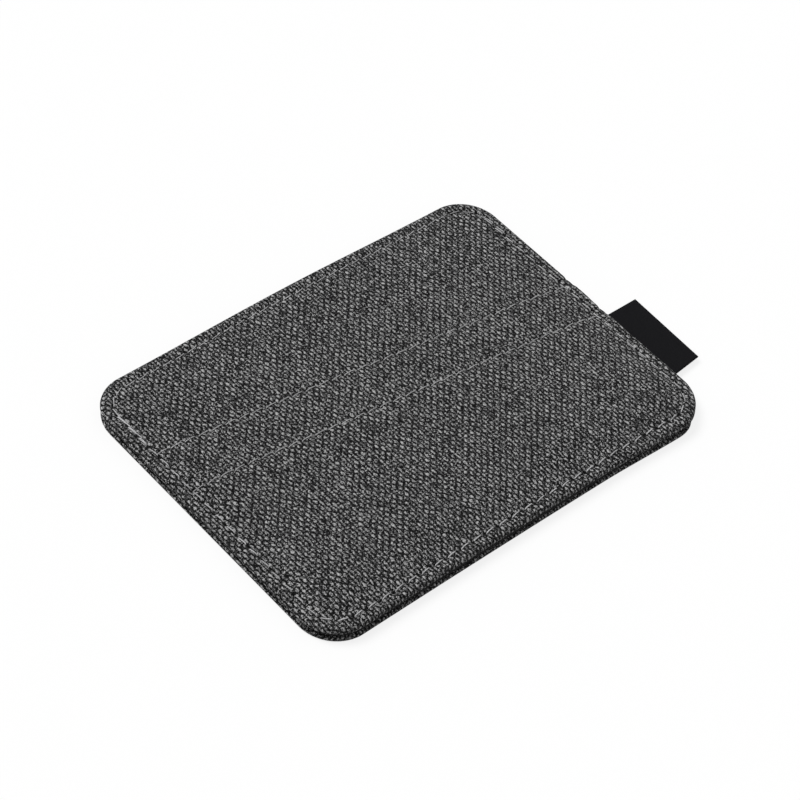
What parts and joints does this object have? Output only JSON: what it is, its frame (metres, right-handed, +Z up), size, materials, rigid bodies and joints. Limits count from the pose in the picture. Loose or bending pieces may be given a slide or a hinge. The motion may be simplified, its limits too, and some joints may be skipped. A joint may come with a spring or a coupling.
{
  "type": "rfid card holder",
  "caption": "Slim sewn card holder in two-tone woven cloth with slanted front slots, an open top pocket, shielding film inside both walls and a folded label in the side seam.",
  "frame": {"origin": "middle of the holder's outline, on the outer face of the back wall, which it rests on", "axes": "+X along the long side towards the label, +Y towards the open long side, +Z up out of the slotted front"},
  "size_m": [0.1087, 0.073, 0.0038],
  "materials": {
    "woven_cloth": "two-tone grey plain-woven polyester, matt",
    "lining_cloth": "thin black polyester lining",
    "shielding_film": "metallised film, bright",
    "sewing_thread": "light grey polyester sewing thread",
    "label_tape": "black woven label tape"
  },
  "bodies": {
    "holder": {"back_panel": "woven_cloth", "front_panel": "woven_cloth", "upper_slot_facing": "woven_cloth", "lower_slot_facing": "woven_cloth", "back_shield": "shielding_film", "front_shield": "shielding_film", "back_lining": "lining_cloth", "front_lining": "lining_cloth", "upper_slot_lining": "lining_cloth", "lower_slot_lining": "lining_cloth", "seam_needle_thread": "sewing_thread", "seam_bobbin_thread": "sewing_thread", "front_mouth_thread": "sewing_thread", "back_mouth_thread": "sewing_thread", "upper_hem_thread": "sewing_thread", "lower_hem_thread": "sewing_thread", "label_root": "label_tape"},
    "label": {"label_tab": "label_tape"}
  },
  "joints": [
    {"name": "label_hinge", "type": "hinge", "parent": "holder", "child": "label", "pos_m": [0.0503, -0.015, 0.00118], "axis": [0, 1, 0], "range_deg": [-80, 80], "stiffness_Nm_per_rad": 0.0002}
  ]
}
